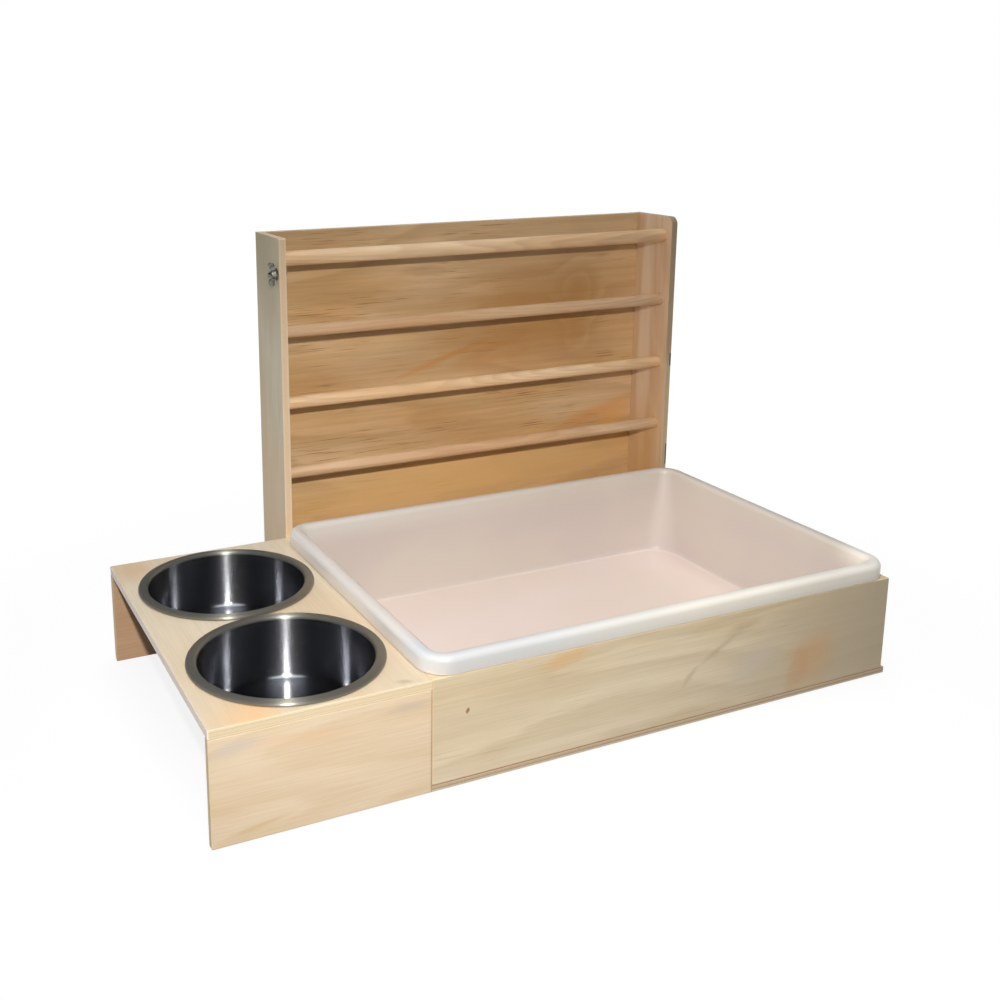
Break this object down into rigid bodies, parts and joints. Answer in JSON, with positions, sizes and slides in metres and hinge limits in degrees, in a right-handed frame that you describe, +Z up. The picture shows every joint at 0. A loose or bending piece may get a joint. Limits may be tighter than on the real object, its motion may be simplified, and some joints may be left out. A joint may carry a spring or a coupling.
{
  "type": "hay feeder box",
  "caption": "Free-standing wooden hay feeder for small pets: a railed hay rack over a box with a lift-out litter tray, and a low bench beside it with lift-out steel bowls.",
  "frame": {"origin": "on the ground under the middle of the whole feeder's bounding box", "axes": "+X along the front towards the right, away from the bowls; +Y to the back, towards the hay rack; +Z up"},
  "size_m": [0.532, 0.3294, 0.3255],
  "materials": {
    "plywood": "bare pale plywood, sanded",
    "back_plywood": "bare warm plywood, sanded",
    "rail_wood": "bare round rod, smooth",
    "steel": "spun and polished stainless steel",
    "tray_plastic": "satin milky moulded plastic",
    "zinc": "zinc plated"
  },
  "bodies": {
    "feeder": {"base_board": "plywood", "front_board": "plywood", "cross_board": "plywood", "left_side_panel": "plywood", "right_side_panel": "plywood", "bench_top": "plywood", "bench_front_leg": "plywood", "bench_rear_leg": "plywood", "back_panel": "back_plywood", "hay_rail_1": "rail_wood", "hay_rail_2": "rail_wood", "hay_rail_3": "rail_wood", "hay_rail_4": "rail_wood", "clamp_bolt": "zinc"},
    "tray": {"litter_tray": "tray_plastic"},
    "bowl_front": {"front_bowl": "steel"},
    "bowl_rear": {"rear_bowl": "steel"},
    "washer": {"clamp_washer": "zinc"},
    "nut": {"wing_nut": "zinc"}
  },
  "joints": [
    {"name": "tray_lift", "type": "slide", "parent": "feeder", "child": "tray", "axis": [0, 0, 1], "range_m": [0, 0.1]},
    {"name": "front_bowl_lift", "type": "slide", "parent": "feeder", "child": "bowl_front", "axis": [0, 0, 1], "range_m": [0, 0.06]},
    {"name": "rear_bowl_lift", "type": "slide", "parent": "feeder", "child": "bowl_rear", "axis": [0, 0, 1], "range_m": [0, 0.06]},
    {"name": "washer_slide", "type": "slide", "parent": "feeder", "child": "washer", "axis": [-1, 0, 0], "range_m": [0, 0.0021]},
    {"name": "wing_nut_turn", "type": "hinge", "parent": "washer", "child": "nut", "pos_m": [-0.122, 0.11375, 0.2968], "axis": [-1, 0, 0], "range_deg": [0, 1080]}
  ],
  "couplings": [
    {"joint": "washer_slide", "follows": "wing_nut_turn", "m_per_rad": 0.00011141}
  ]
}
